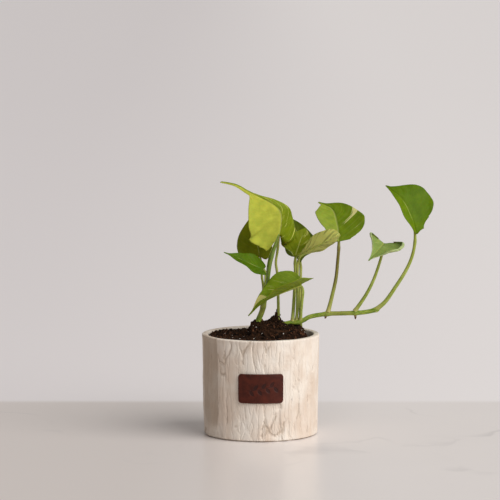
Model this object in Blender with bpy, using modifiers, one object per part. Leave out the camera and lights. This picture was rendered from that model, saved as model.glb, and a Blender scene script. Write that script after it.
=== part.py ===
"""A pothos (Epipremnum aureum) growing in a round cement pot with a leather label. Metres, +Z up.

The frame sits at the middle of the pot's foot: the label faces -Y and the trailing vine runs to +X.
Every plant point is written in millimetres from the middle of the pot's rim, so that the plant
follows the pot's height.
"""

import math

import bmesh
import bpy
from mathutils import Vector, noise

MM = 0.001
GAP = 0.3 * MM

POT_RADIUS = 50 * MM
POT_HEIGHT = 86 * MM
POT_TAPER = 1.6 * MM
POT_WALL = 5.2 * MM
POT_FLOOR = 8 * MM
POT_EDGE = 1.2 * MM
POT_COVE = 4 * MM
POT_TURNS = 72
BARK_DEPTH = 0.9 * MM

LABEL_WIDTH = 39 * MM
LABEL_HEIGHT = 25 * MM
LABEL_THICKNESS = 1.2 * MM
LABEL_MIDDLE = 45.5 * MM
LABEL_CORNER = 3 * MM

SPREAD = POT_RADIUS / 50
SOIL_BELOW_RIM = 2.4
MOUND_HEIGHT = 12.0

PLANT = 1.0 * MM
LEAF_THICKNESS = 0.7
LEAF_ROWS = 14
LEAF_COLUMNS = 10

# Half width of a leaf along its length, as shares of its widest half width.
LEAF_SHAPE = (
    (0.0, 0.40),
    (0.03, 0.64),
    (0.08, 0.84),
    (0.16, 0.97),
    (0.28, 1.0),
    (0.42, 0.91),
    (0.56, 0.72),
    (0.70, 0.48),
    (0.80, 0.30),
    (0.88, 0.16),
    (0.95, 0.07),
    (1.0, 0.03),
)

CEMENT = ("cement", (0.80, 0.75, 0.66), 0.85)
LEATHER = ("leather", (0.17, 0.06, 0.045), 0.6)
PEAT = ("peat", (0.045, 0.03, 0.022), 0.95)
VINE = ("vine", (0.25, 0.40, 0.08), 0.5)
STALK = ("stalk", (0.45, 0.55, 0.16), 0.5)
DARK_LEAF = ("dark_leaf", (0.05, 0.20, 0.02), 0.35)
LIME_LEAF = ("lime_leaf", (0.50, 0.60, 0.12), 0.4)


def clear_scene():
    for found in list(bpy.data.objects):
        bpy.data.objects.remove(found)


def collection(name):
    made = bpy.data.collections.new(name)
    bpy.context.scene.collection.children.link(made)
    return made


def material(spec):
    name, colour, roughness = spec
    made = bpy.data.materials.get(name)
    if made is None:
        made = bpy.data.materials.new(name)
        made.use_nodes = True
        shader = made.node_tree.nodes["Principled BSDF"]
        shader.inputs["Base Color"].default_value = (*colour, 1)
        shader.inputs["Roughness"].default_value = roughness
    return made


def plain(name, source, spec, group, weld=0.01 * MM):
    """The finished mesh of an object as a plain object of the same place; the source is removed."""
    graph = bpy.context.evaluated_depsgraph_get()
    mesh = bpy.data.meshes.new_from_object(source.evaluated_get(graph))
    made = bpy.data.objects.new(name, mesh)
    made.matrix_world = source.matrix_world
    group.objects.link(made)
    bpy.data.objects.remove(source)
    shell = bmesh.new()
    shell.from_mesh(mesh)
    bmesh.ops.remove_doubles(shell, verts=shell.verts, dist=weld)
    bmesh.ops.recalc_face_normals(shell, faces=shell.faces)
    shell.to_mesh(mesh)
    shell.free()
    mesh.shade_smooth()
    mesh.set_sharp_from_angle(angle=math.radians(35))
    mesh.materials.clear()
    mesh.materials.append(material(spec))
    return made


def turned(name, profile, steps, spec, group):
    """A profile of (radius, height) points turned about Z."""
    mesh = bpy.data.meshes.new(name)
    points = [(radius, 0, height) for radius, height in profile]
    mesh.from_pydata(points, [(i, i + 1) for i in range(len(points) - 1)], [])
    source = bpy.data.objects.new(name + "_profile", mesh)
    group.objects.link(source)
    screw = source.modifiers.new("turn", "SCREW")
    screw.axis = "Z"
    screw.angle = math.tau
    screw.steps = steps
    screw.render_steps = steps
    screw.use_merge_vertices = True
    screw.merge_threshold = 0.00001
    return plain(name, source, spec, group)


def at(point):
    """A plant point, in millimetres from the middle of the pot's rim, in the part's frame."""
    return Vector((point[0] * PLANT, point[1] * PLANT, POT_HEIGHT + point[2] * PLANT))


def rooted(point):
    """A place in the soil: it keeps its share of the pot's width, and its depth under the rim."""
    return Vector((point[0] * SPREAD, point[1] * SPREAD, POT_HEIGHT + point[2] * MM))


def grown(points, count):
    """The smooth line of a stem whose first point is in the soil."""
    return smooth_path([rooted(points[0]), *[at(p) for p in points[1:]]], count)


def smooth_path(points, count):
    """A Catmull-Rom curve through the points, as points evenly spaced along it."""
    ends = [points[0] * 2 - points[1], *points, points[-1] * 2 - points[-2]]
    fine = []
    for i in range(1, len(ends) - 2):
        p0, p1, p2, p3 = ends[i - 1 : i + 3]
        for step in range(12):
            s = step / 12
            turn = (p2 - p0) * s + (p0 * 2 - p1 * 5 + p2 * 4 - p3) * s * s
            fine.append(p1 + (turn + (p1 * 3 - p0 - p2 * 3 + p3) * s * s * s) / 2)
    fine.append(points[-1])
    runs = [0.0]
    for before, after in zip(fine, fine[1:]):
        runs.append(runs[-1] + (after - before).length)
    spaced = []
    for index in range(count):
        want = runs[-1] * index / (count - 1)
        j = max(k for k in range(len(runs) - 1) if runs[k] <= want + 1e-12)
        share = (want - runs[j]) / (runs[j + 1] - runs[j])
        spaced.append(fine[j].lerp(fine[j + 1], min(1.0, share)))
    return spaced


def level(table, t):
    """The value at t of a table of (t, value) points joined by straight lines."""
    for (t0, low), (t1, high) in zip(table, table[1:]):
        if t <= t1:
            return low + (high - low) * (t - t0) / (t1 - t0)
    return table[-1][1]


def tube(name, path, radii, spec, group, sides=8, grow=0.0):
    """A round stalk along a path of points; radii is a table of (share of length, radius)."""
    curve = bpy.data.curves.new(name, "CURVE")
    curve.dimensions = "3D"
    curve.bevel_depth = MM
    curve.bevel_resolution = sides // 2 - 2
    curve.use_fill_caps = True
    line = curve.splines.new("POLY")
    line.points.add(len(path) - 1)
    for i, place in enumerate(path):
        line.points[i].co = (*place, 1)
        wide = level(radii, i / (len(path) - 1)) * PLANT + grow
        line.points[i].radius = wide / MM
    source = bpy.data.objects.new(name + "_path", curve)
    group.objects.link(source)
    return plain(name, source, spec, group)


def cut(target, cutter, operation="DIFFERENCE"):
    step = target.modifiers.new("cut", "BOOLEAN")
    step.operation = operation
    step.solver = "EXACT"
    step.object = cutter


# ---------------------------------------------------------------- the cement pot and its label

def pot_outside(height):
    return POT_RADIUS - POT_TAPER * (1 - height / POT_HEIGHT)


def bark(angle, height):
    """How deep the cement is drawn in, like the upright furrows of bark."""
    wave = noise.noise(Vector((math.cos(angle) * 7, math.sin(angle) * 7, height * 22)))
    furrow = max(0.0, min(1.0, 0.5 + 1.6 * wave))
    return BARK_DEPTH * furrow


def make_pot(group):
    inside_top = POT_RADIUS - POT_WALL
    inside_floor = pot_outside(POT_FLOOR) - POT_WALL
    profile = [(0, POT_FLOOR), (inside_floor - POT_COVE, POT_FLOOR), (inside_floor, POT_FLOOR + POT_COVE)]
    profile += [(inside_top, POT_HEIGHT - POT_EDGE), (inside_top + POT_EDGE, POT_HEIGHT)]
    profile += [(POT_RADIUS - POT_EDGE, POT_HEIGHT), (POT_RADIUS, POT_HEIGHT - POT_EDGE)]
    bands = 7
    for i in range(1, bands + 1):
        height = POT_HEIGHT - (POT_HEIGHT - POT_EDGE) * i / bands
        profile.append((pot_outside(height), height))
    profile += [(pot_outside(0) - POT_EDGE, 0), (0, 0)]
    pot = turned("cement_pot", profile, POT_TURNS, CEMENT, group)
    for point in pot.data.vertices:
        radius = math.hypot(point.co.x, point.co.y)
        if radius > POT_RADIUS - POT_WALL / 2 and POT_EDGE / 2 < point.co.z < POT_HEIGHT - POT_EDGE / 2:
            drawn = 1 - bark(math.atan2(point.co.y, point.co.x), point.co.z) / radius
            point.co.x *= drawn
            point.co.y *= drawn
    return pot


def make_label(group, cutters):
    low = LABEL_MIDDLE - LABEL_HEIGHT
    high = LABEL_MIDDLE + LABEL_HEIGHT
    rings = [(pot_outside(high) + GAP, high), (pot_outside(high) + GAP + LABEL_THICKNESS, high)]
    rings += [(pot_outside(low) + GAP + LABEL_THICKNESS, low), (pot_outside(low) + GAP, low)]
    sleeve = turned("leather_label", [*rings, rings[0]], POT_TURNS, LEATHER, group)

    shape = bmesh.new()
    bmesh.ops.create_cube(shape, size=1)
    bmesh.ops.scale(shape, vec=(LABEL_WIDTH, POT_RADIUS, LABEL_HEIGHT), verts=shape.verts)
    bmesh.ops.translate(shape, vec=(0, -POT_RADIUS, LABEL_MIDDLE), verts=shape.verts)
    corners = [e for e in shape.edges if abs(e.verts[0].co.y - e.verts[1].co.y) > POT_RADIUS / 2]
    bmesh.ops.bevel(shape, geom=corners, offset=LABEL_CORNER, segments=5, profile=0.5, affect="EDGES")
    mesh = bpy.data.meshes.new("label_outline")
    shape.to_mesh(mesh)
    shape.free()
    outline = bpy.data.objects.new("label_outline", mesh)
    outline.hide_render = True
    outline.display_type = "WIRE"
    cutters.objects.link(outline)
    cut(sleeve, outline, "INTERSECT")
    return sleeve


# ---------------------------------------------------------------- the soil

def step_up(value, start, soft):
    return 1 / (1 + math.exp(-(value - start) / soft))


def hump(x, y, place, width):
    return math.exp(-((x - place[0]) ** 2 + (y - place[1]) ** 2) / (2 * width * width))


def soil_level(x, y):
    """Height of the soil against the rim, in millimetres: a mound round the stems.

    x and y are fiftieths of the pot's radius, so the mound keeps its share of the pot's width.
    """
    low = -SOIL_BELOW_RIM - 3 * step_up(x, 22, 5)
    across = step_up(x, -9, 1.6) * (1 - step_up(x, 37, 1.4))
    along = step_up(y, -19, 4.5) * (1 - step_up(y, 19, 4.5))
    mound = MOUND_HEIGHT * across * along
    mound += 3.5 * hump(x, y, (-5, -6), 3.5) + 4.5 * hump(x, y, (12, 5), 3)
    crumbs = 0.9 * noise.noise(Vector((x * 0.33, y * 0.33, 4.1)))
    rim = min(1.0, max(0.0, (43 - math.hypot(x, y)) / 6))
    return low + mound * rim + crumbs


def make_soil(group):
    wall_top = POT_RADIUS - POT_WALL - GAP
    wall_low = pot_outside(POT_FLOOR) - POT_WALL - GAP
    top = POT_HEIGHT - SOIL_BELOW_RIM * MM
    rings = 13
    profile = [(wall_top * i / rings, top) for i in range(rings + 1)]
    low = POT_FLOOR + GAP
    profile += [(wall_low, low + POT_COVE + GAP), (wall_low - POT_COVE - GAP, low), (0, low)]
    soil = turned("soil", profile, 60, PEAT, group)
    for point in soil.data.vertices:
        if abs(point.co.z - top) < 0.1 * MM:
            point.co.z = POT_HEIGHT + soil_level(point.co.x / SPREAD, point.co.y / SPREAD) * MM
    shell = bmesh.new()
    shell.from_mesh(soil.data)
    bmesh.ops.triangulate(shell, faces=shell.faces)
    shell.to_mesh(soil.data)
    shell.free()
    return soil


# ---------------------------------------------------------------- the leaves

class Leaf:
    """A heart-shaped blade hung on its midrib.

    rib: points from the notch at the stalk to the tip; face: the way the upper side looks;
    half: widest half width left and right of the rib, seen from above with the tip ahead;
    fold: how far each half is lifted from flat, in degrees; curl: how much more it is lifted at
    its edge; lobe: how far each lobe reaches back past the notch, as a share of the length
    (below zero, the blade starts as a wedge); drip: share of the length that is narrow drip tip;
    belly: above one, the widest place of that half moves towards the tip, below one to the stalk;
    ear: how wide each half starts at the notch, as a share of the usual.
    """

    def __init__(self, rib, face, half, fold=(10, 10), curl=(0, 0), lobe=(0.1, 0.1), drip=0.1,
                 belly=(1.0, 1.0), ear=(1.0, 1.0)):
        self.line = smooth_path([Vector(p) for p in rib], 41)
        self.length = sum((b - a).length for a, b in zip(self.line, self.line[1:]))
        self.chord = (self.line[32] - self.line[0]).normalized()
        self.face = Vector(face)
        self.half = half
        self.fold = fold
        self.curl = curl
        self.lobe = lobe
        self.drip = drip
        self.belly = belly
        self.ear = ear

    def frame(self, t):
        """The midrib point at t, its direction, the blade's right side and its upper side."""
        place = t * 40
        i = min(39, int(place))
        point = self.line[i].lerp(self.line[i + 1], place - i)
        before = self.line[max(0, i - 1)]
        after = self.line[min(40, i + 2)]
        ahead = (after - before).normalized()
        side = (ahead * 0.3 + self.chord * 0.7).cross(self.face).normalized()
        return point, ahead, side, side.cross(ahead).normalized()

    def point(self, t, v):
        """The middle of the blade at t along the rib and v (-1 to 1) across it."""
        point, ahead, side, up = self.frame(t)
        which = 1 if v > 0 else 0
        blade = 1 - self.drip
        share = 0.96 * t / blade if t < blade else 0.96 + 0.04 * (t - blade) / self.drip
        wide = self.half[which] * level(LEAF_SHAPE, share ** self.belly[which])
        wide *= self.ear[which] + (1 - self.ear[which]) * min(1.0, t / 0.22)
        reach = abs(v)
        out = lift = 0.0
        for piece in range(6):
            angle = math.radians(self.fold[which] + self.curl[which] * reach * (piece + 0.5) / 6)
            out += math.cos(angle) * wide * reach / 6
            lift += math.sin(angle) * wide * reach / 6
        back = max(0.0, reach - 0.14) / 0.86
        back = self.lobe[which] * self.length * back * (2 - back) * (1 - t) ** 3
        return point + side * math.copysign(out, v) + up * lift - ahead * back


def make_leaf(name, leaf, spec, group):
    shell = bmesh.new()
    bmesh.ops.create_grid(shell, x_segments=LEAF_ROWS, y_segments=LEAF_COLUMNS, size=1)
    for vertex in shell.verts:
        vertex.co = at(leaf.point((vertex.co.x + 1) / 2, vertex.co.y))
    mesh = bpy.data.meshes.new(name)
    shell.to_mesh(mesh)
    shell.free()
    source = bpy.data.objects.new(name + "_sheet", mesh)
    group.objects.link(source)
    thick = source.modifiers.new("thick", "SOLIDIFY")
    thick.thickness = LEAF_THICKNESS * PLANT
    thick.offset = 0
    return plain(name, source, spec, group)


LEAVES = {
    "a": Leaf(
        rib=((15.5, -4, 83), (17.4, -5, 96), (16.2, -6, 105), (8.5, -5, 111.8), (-1.8, -4, 116.8),
             (-10.6, -2, 121.0), (-21.0, 0, 126.4), (-33.8, 4, 128.6)),
        face=(-0.2, -0.95, 0.25), half=(33.5, 20), fold=(5, -20), curl=(10, -24), lobe=(0.11, 0.15),
        drip=0.36, belly=(1.6, 0.42), ear=(0.8, 1.0)),
    "b": Leaf(
        rib=((-0.5, 7, 64), (-3, 9, 77), (-4, 12, 93), (-3, 15, 108)),
        face=(-0.15, -0.95, 0.2), half=(18, 13), fold=(8, 8), curl=(10, 10), lobe=(0.06, 0.06)),
    "c": Leaf(
        rib=((1.8, -14, 56), (-8, -17.5, 61), (-19, -21, 66.5), (-31, -23, 71.7)),
        face=(-0.2, -0.5, 0.85), half=(15, 12), fold=(8, 8), curl=(8, 8), lobe=(0.07, 0.07)),
    "d": Leaf(
        rib=((34.5, -10, 43), (22, -15, 38.5), (9.5, -19, 33), (-1.5, -23, 26.5), (-10.4, -26, 18)),
        face=(0.1, -0.37, 0.93), half=(22, 16.5), fold=(50, 50), curl=(5, 5), lobe=(0.21, 0.02),
        belly=(1.3, 1.0), ear=(0.4, 1.0)),
    "e": Leaf(
        rib=((29.1, 4.5, 64.3), (33.4, 8, 77), (37, 13, 85), (38.5, 19, 88)),
        face=(-0.15, -0.8, 0.55), half=(15, 15), fold=(10, 10), curl=(10, 10), lobe=(-0.13, -0.13)),
    "f": Leaf(
        rib=((32.1, -5, 66), (42, -8, 72), (53, -10, 78.5), (62.5, -8, 83), (67, 0, 83.5), (67, 8, 81)),
        face=(-0.3, 0.75, 0.55), half=(13.5, 11), fold=(10, 10), curl=(15, 15), lobe=(-0.15, -0.1),
        belly=(1.9, 1.9)),
    "g": Leaf(
        rib=((34, 16, 59), (33.6, 20, 73), (29.4, 25, 87.5), (20, 29, 100)),
        face=(0.1, -0.95, 0.25), half=(14, 14), fold=(5, 5), curl=(10, 10), lobe=(-0.1, -0.1)),
    "h": Leaf(
        rib=((66.6, 8, 77), (65, 18, 91), (61.2, 30, 102.5), (49.6, 36, 108)),
        face=(0.0, -0.75, 0.65), half=(18, 24.5), fold=(10, 5), curl=(15, 10), lobe=(0.0, 0.0),
        belly=(2.7, 1.3)),
    "i": Leaf(
        rib=((104.5, 0, 77), (99, -10, 72), (90.7, -20, 64)),
        face=(-0.1, -0.6, 0.8), half=(24, 17), fold=(2, 20), curl=(18, 12), lobe=(0.08, 0.0),
        belly=(0.8, 0.4)),
    "j": Leaf(
        rib=((132.3, 3, 84), (127.5, 6, 99), (120.0, 12, 113), (106.3, 18, 124)),
        face=(0.57, -0.82, 0.25), half=(9, 25.5), fold=(10, 10), curl=(8, 6), lobe=(-0.05, -0.05),
        drip=0.06, belly=(1.7, 2.0), ear=(0.8, 0.8)),
}
LIME = ("a", "f", "h")

# Stalk of each leaf from its foot: points, and the radius at foot and at the blade.
STALKS = {
    "a": (((15.5, 3.5, -2), (15.1, 3.5, 27.7), (14.2, 3.5, 50), (13, 3.5, 59.4), (14.3, 3, 69)), (1.5, 1.1)),
    "b": (((4.3, -5.9, 38.6), (4.1, -4, 41.4), (4.1, 3, 50.8), (1.2, 8, 56)), (1.2, 1.0)),
    "c": (((2.5, -9.4, 38.6), (2.0, -10.5, 43), (1.1, -13, 49.3)), (1.2, 1.0)),
    "d": (((33.8, -3, 12.9), (34.2, -5.5, 20), (34.8, -7.5, 26.5), (35.6, -9.5, 37)), (1.5, 1.3)),
    "e": (((27.2, -2, 12.2), (28.3, -1, 28.2), (29.4, 2.5, 50), (29.2, 5.5, 58)), (1.5, 1.2)),
    "f": (((30.5, -2.4, 12.4), (31.0, -3.5, 20), (31.2, -4.5, 36.5), (31.3, -4, 55.4),
           (31.8, -3, 61)), (1.3, 1.1)),
    "g": (((34.5, 5.5, -2), (33.6, 8, 27), (34.2, 13, 48), (34.3, 16.5, 54)), (1.4, 1.2)),
    "h": (((57.6, -1.5, 19.6), (60.7, 2, 31.3), (64.1, 6, 46.2), (65.8, 8.5, 63),
           (66.4, 8.5, 71)), (1.7, 1.3)),
    "i": (((81.3, -2, 20.5), (89.4, -3, 32.8), (96.1, -3, 46.4), (101.1, -1, 60.8),
           (103.6, 1, 70)), (1.8, 1.2)),
    "j": (((98.8, -2, 20.6), (106.3, -3, 27.6), (114.2, -2, 39), (123, 0, 52.7), (128.4, 2, 64.6),
           (130.9, 3.5, 76)), (2.0, 1.4)),
}

STEM_PATH = ((-3.0, -6, -6), (-2.2, -6, 9.2), (1.2, -7, 18.8), (2.9, -8, 26.6), (4.1, -8, 38.2))
SPEAR_PATH = ((5.5, -8.6, 38.6), (7.1, -9, 56.6), (9.2, -9.5, 66.8), (12.1, -10, 75.4), (15.3, -10.5, 85.5))
RUNNER_PATH = ((14, -2, -2), (17.3, -2, 6), (24.1, -2, 8.7), (31.8, -2, 9.5), (36.8, -2, 11.2),
               (42.8, -2, 14.2), (56.4, -2, 16.4), (67.4, -2, 16.8), (80.1, -2, 17.2), (89.5, -2, 18),
               (98, -2, 20))


def stalk_line(points):
    """A stalk that starts below its stem's level comes out of the soil, any other from a stem."""
    if points[0][2] < 5:
        return grown(points, 14)
    return smooth_path([at(p) for p in points], 14)


def make_stalk(key, group):
    points, (thick, thin) = STALKS[key]
    leaf = LEAVES[key]
    notch, ahead, _, up = leaf.frame(0)
    end = notch + ahead * 0.8 - up * (LEAF_THICKNESS / 2 + GAP / PLANT + thin)
    path = stalk_line((*points, end))
    return tube("stalk_" + key, path, ((0, thick), (0.85, thin), (1, thin)), STALK, group)


def main():
    clear_scene()
    group = collection("potted_pothos")
    cutters = collection("cutters")
    make_pot(group)
    make_label(group, cutters)
    soil = make_soil(group)

    stem = grown(STEM_PATH, 12)
    stem_radii = ((0, 2.6), (0.6, 2.5), (0.85, 2.4), (1, 2.7))
    tube("main_stem", stem, stem_radii, VINE, group, sides=10)
    spear_radii = ((0, 1.4), (0.35, 1.9), (0.6, 2.2), (0.85, 1.2), (1, 0.3))
    tube("new_leaf_spear", smooth_path([at(p) for p in SPEAR_PATH], 12), spear_radii, DARK_LEAF, group)
    runner = grown(RUNNER_PATH, 26)
    runner_radii = ((0, 2.2), (0.6, 2.3), (1, 2.1))
    tube("runner", runner, runner_radii, VINE, group, sides=10)

    buried = [(stem, stem_radii, 10), (runner, runner_radii, 10)]
    for key in LEAVES:
        make_leaf("leaf_" + key, LEAVES[key], LIME_LEAF if key in LIME else DARK_LEAF, group)
        make_stalk(key, group)
        points, (thick, thin) = STALKS[key]
        if points[0][2] < 5:
            buried.append((stalk_line(points), ((0, thick), (1, thin)), 8))
    for number, (path, radii, sides) in enumerate(buried):
        longer = [path[0] - (path[1] - path[0]).normalized() * GAP, *path[1:]]
        hole = tube(f"soil_hole_{number + 1}", longer, radii, PEAT, cutters, sides, grow=GAP)
        hole.hide_render = True
        hole.display_type = "WIRE"
        cut(soil, hole)


main()
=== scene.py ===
import math

import bmesh
import bpy
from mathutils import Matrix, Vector, noise


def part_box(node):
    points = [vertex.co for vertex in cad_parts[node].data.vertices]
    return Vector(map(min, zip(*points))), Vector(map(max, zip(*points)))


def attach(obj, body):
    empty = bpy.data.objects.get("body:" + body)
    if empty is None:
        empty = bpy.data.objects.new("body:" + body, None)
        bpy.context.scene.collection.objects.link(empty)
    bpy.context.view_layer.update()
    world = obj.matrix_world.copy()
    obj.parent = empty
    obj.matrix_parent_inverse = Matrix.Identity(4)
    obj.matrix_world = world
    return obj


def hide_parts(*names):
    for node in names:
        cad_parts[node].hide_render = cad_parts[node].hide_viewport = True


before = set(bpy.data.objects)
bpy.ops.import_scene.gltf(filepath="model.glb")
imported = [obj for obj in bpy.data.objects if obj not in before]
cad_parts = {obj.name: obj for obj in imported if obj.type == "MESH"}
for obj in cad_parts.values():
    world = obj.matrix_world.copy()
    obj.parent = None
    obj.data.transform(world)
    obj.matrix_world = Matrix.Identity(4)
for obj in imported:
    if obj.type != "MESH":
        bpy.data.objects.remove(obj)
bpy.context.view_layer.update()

MM = 0.001
GAP = 0.3 * MM

# ------------------------------------------------------------------------------------------------
# The studio: a pale marble slab whose far edge lies behind the pot, a paler wall beyond it, one
# broad soft window from the right and in front, and a long lens a little above the rim. Slab and
# wall both carry painted light: they are coloured lighter towards the window on the right.


def node(tree, kind, inputs=None, **settings):
    """A node of a tree, with its settings and its inputs: values, or other nodes' outputs."""
    made = tree.nodes.new(kind)
    for name, value in settings.items():
        setattr(made, name, value)
    for name, value in (inputs or {}).items():
        socket = made.inputs[name]
        if isinstance(value, bpy.types.NodeSocket):
            tree.links.new(value, socket)
        elif socket.type == "RGBA" and len(value) == 3:
            socket.default_value = (*value, 1)
        else:
            socket.default_value = value
    return made


def maths(tree, operation, *values):
    """The result of a maths node; the values are numbers or other nodes' outputs."""
    return node(tree, "ShaderNodeMath", dict(enumerate(values)), operation=operation).outputs[0]


def vector_maths(tree, operation, *values):
    made = node(tree, "ShaderNodeVectorMath", dict(enumerate(values)), operation=operation)
    return made.outputs["Vector"]


def scaled(tree, vector, factor):
    """A vector made longer or shorter by a factor."""
    made = node(tree, "ShaderNodeVectorMath", {0: vector, "Scale": factor}, operation="SCALE")
    return made.outputs["Vector"]


def product(tree, first, *others):
    """The values multiplied together."""
    for value in others:
        first = maths(tree, "MULTIPLY", first, value)
    return first


def own_place(tree):
    """Where a point is on its own object."""
    return node(tree, "ShaderNodeTexCoord").outputs["Object"]


def attribute(tree, name):
    """A value that the mesh holds for each of its points."""
    return node(tree, "ShaderNodeAttribute", attribute_name=name).outputs["Fac"]


def ramp(tree, value, low, high, start=0.0, stop=1.0):
    """A smooth change from start to stop as the value goes from low to high."""
    given = {"Value": value, "From Min": low, "From Max": high, "To Min": start, "To Max": stop}
    made = node(tree, "ShaderNodeMapRange", given, interpolation_type="SMOOTHSTEP")
    return made.outputs["Result"]


def cloud(tree, place, scale, detail=2.0, roughness=0.5):
    """Cloudy noise from 0 to 1."""
    given = {"Vector": place, "Scale": scale, "Detail": detail, "Roughness": roughness}
    return node(tree, "ShaderNodeTexNoise", given).outputs["Fac"]


def mix(tree, factor, first, second, kind="MIX"):
    """Two colours mixed by a factor."""
    made = node(tree, "ShaderNodeMix", {}, data_type="RGBA", blend_type=kind)
    for name, value in (("Factor", factor), ("A", first), ("B", second)):
        if isinstance(value, bpy.types.NodeSocket):
            tree.links.new(value, made.inputs[name])
        elif name == "Factor":
            made.inputs[name].default_value = value
        else:
            made.inputs[name].default_value = (*value, 1)
    return made.outputs["Result"]


def new_material(name, **values):
    """A material with its tree and its Principled shader; the values are the shader's own."""
    made = bpy.data.materials.new(name)
    made.use_nodes = True
    shader = made.node_tree.nodes["Principled BSDF"]
    for label, value in values.items():
        shader.inputs[label.replace("_", " ")].default_value = value
    return made, made.node_tree, shader


def set_bump(tree, shader, height, distance, strength=1.0):
    bump = node(tree, "ShaderNodeBump", {"Height": height, "Distance": distance, "Strength": strength})
    tree.links.new(bump.outputs["Normal"], shader.inputs["Normal"])


def place_object(name, data):
    made = bpy.data.objects.new(name, data)
    bpy.context.scene.collection.objects.link(made)
    return made


def finished_mesh(shell, name, material=None):
    """The bmesh as a mesh with the material; the bmesh is freed."""
    made = bpy.data.meshes.new(name)
    shell.to_mesh(made)
    shell.free()
    if material:
        made.materials.append(material)
    return made


table_finish, tree, shader = new_material("table_finish", Roughness=0.3)
place = own_place(tree)
split = node(tree, "ShaderNodeSeparateXYZ", {"Vector": place})
warp = node(tree, "ShaderNodeTexNoise", {"Vector": place, "Scale": 6.0, "Detail": 4.0})
bent = vector_maths(tree, "MULTIPLY_ADD", warp.outputs["Color"], (0.22, 0.22, 0.22), place)
crease = maths(tree, "ABSOLUTE", maths(tree, "SUBTRACT", cloud(tree, bent, 5.0, 2.0), 0.5))
marbling = ramp(tree, crease, 0.0, 0.02, 0.45, 0.0)
where_veined = ramp(tree, cloud(tree, place, 7.0), 0.5, 0.7)
# Painted light: the slab is coloured darker on the left and lighter to the right, towards the window.
across = ramp(tree, split.outputs["X"], -0.12, 0.12)
painted_light_slab = mix(tree, across, (0.69, 0.63, 0.60), (0.87, 0.82, 0.80))
painted_light_slab = mix(tree, maths(tree, "MULTIPLY", cloud(tree, place, 9.0, 3.0), 0.2), painted_light_slab, (0.66, 0.62, 0.61))
veined = mix(tree, maths(tree, "MULTIPLY", marbling, where_veined), painted_light_slab, (0.50, 0.47, 0.47))
# Painted light: the wall is coloured lighter towards the window on the right.
painted_window_light = ramp(tree, split.outputs["X"], -0.35, 0.35)
wall = mix(tree, painted_window_light, (0.82, 0.775, 0.785), (0.98, 0.94, 0.94))
past_edge = ramp(tree, split.outputs["Y"], 0.155, 0.175)
ground = mix(tree, past_edge, veined, wall)
tree.links.new(ground, shader.inputs["Base Color"])

sheet = bmesh.new()
bmesh.ops.create_grid(sheet, x_segments=8, y_segments=8, size=30)
table = place_object("table", finished_mesh(sheet, "table", table_finish))

sky = bpy.data.worlds.new("studio_air")
sky.use_nodes = True
sky.node_tree.nodes["Background"].inputs["Color"].default_value = (1.0, 0.965, 0.94, 1)
sky.node_tree.nodes["Background"].inputs["Strength"].default_value = 0.33
bpy.context.scene.world = sky

window = bpy.data.lights.new("window_light", "SUN")
window.energy = 2.85
window.angle = math.radians(54)
window.color = (1.0, 0.985, 0.965)
window_stand = place_object("window_light", window)
window_stand.rotation_euler = (math.radians(50), 0, math.radians(54))

lens = bpy.data.cameras.new("camera")
lens.lens = 235.7
lens.clip_end = 200
camera = place_object("camera", lens)
camera.location = (-0.009, -2.7556, 0.4757)
camera.rotation_euler = (math.radians(83.4), 0, 0)
bpy.context.scene.camera = camera
bpy.context.scene.view_settings.view_transform = "Standard"

# ------------------------------------------------------------------------------------------------
# The pot: one casting of cream cement, straight sided, taken from a mould of rough split wood.
# Its outside has long upright planes and cracks and one high ridge; the rim and inside are plain.

POT_LOW, POT_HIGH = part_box("cement_pot")
POT_TOP = POT_HIGH.z
POT_RADIUS = (POT_HIGH.x - POT_LOW.x) / 2 + 0.3 * MM
POT_TAPER = 1.6 * MM
POT_WALL = 5.2 * MM
POT_FLOOR = 8 * MM
POT_EDGE = 1.2 * MM
POT_COVE = 4 * MM


def plain_mesh(name, source):
    """The evaluated object as a plain mesh object of that name; the source is removed."""
    graph = bpy.context.evaluated_depsgraph_get()
    mesh = bpy.data.meshes.new_from_object(source.evaluated_get(graph))
    mesh.name = name
    bpy.data.objects.remove(source)
    return place_object(name, mesh)


def geometry_tree(name, inputs):
    """A Geometry Nodes tree with named inputs (name, socket kind, value), and its two ends."""
    made = bpy.data.node_groups.new(name, "GeometryNodeTree")
    made.interface.new_socket("Geometry", in_out="INPUT", socket_type="NodeSocketGeometry")
    for label, kind, value in inputs:
        socket = made.interface.new_socket(label, in_out="INPUT", socket_type="NodeSocket" + kind)
        if value is not None:
            socket.default_value = value
    made.interface.new_socket("Geometry", in_out="OUTPUT", socket_type="NodeSocketGeometry")
    return made, node(made, "NodeGroupInput").outputs, node(made, "NodeGroupOutput")


def use_tree(target, made, **values):
    """The tree as a modifier of an object; an input's name has _ for each space."""
    step = target.modifiers.new(made.name, "NODES")
    step.node_group = made
    for item in made.interface.items_tree:
        label = item.name.replace(" ", "_")
        if item.in_out == "INPUT" and label in values:
            step[item.identifier] = values[label]


def finish_tree(made, geometry, material, end):
    """Realizes the instances, gives the material and closes the tree."""
    real = node(made, "GeometryNodeRealizeInstances", {"Geometry": geometry}).outputs["Geometry"]
    done = node(made, "GeometryNodeSetMaterial", {"Geometry": real, "Material": material})
    made.links.new(done.outputs["Geometry"], end.inputs["Geometry"])


def shifted(tree, geometry, offset):
    """The geometry with its points moved by the offset."""
    made = node(tree, "GeometryNodeSetPosition", {"Geometry": geometry, "Offset": offset})
    return made.outputs["Geometry"]


def give(piece, slot, *nodes):
    """Rides the root body and stands for the nodes; the slot is not used."""
    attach(piece, "root")
    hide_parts(*nodes)


def wall_radius(height):
    return POT_RADIUS - POT_TAPER * (1 - height / POT_TOP)


def quarter(centre, size, start, steps):
    """Points of a quarter turn from the start angle in degrees, clockwise."""
    turns = [math.radians(start - 90 * i / steps) for i in range(steps + 1)]
    return [(centre[0] + size * math.cos(a), centre[1] + size * math.sin(a)) for a in turns]


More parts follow.
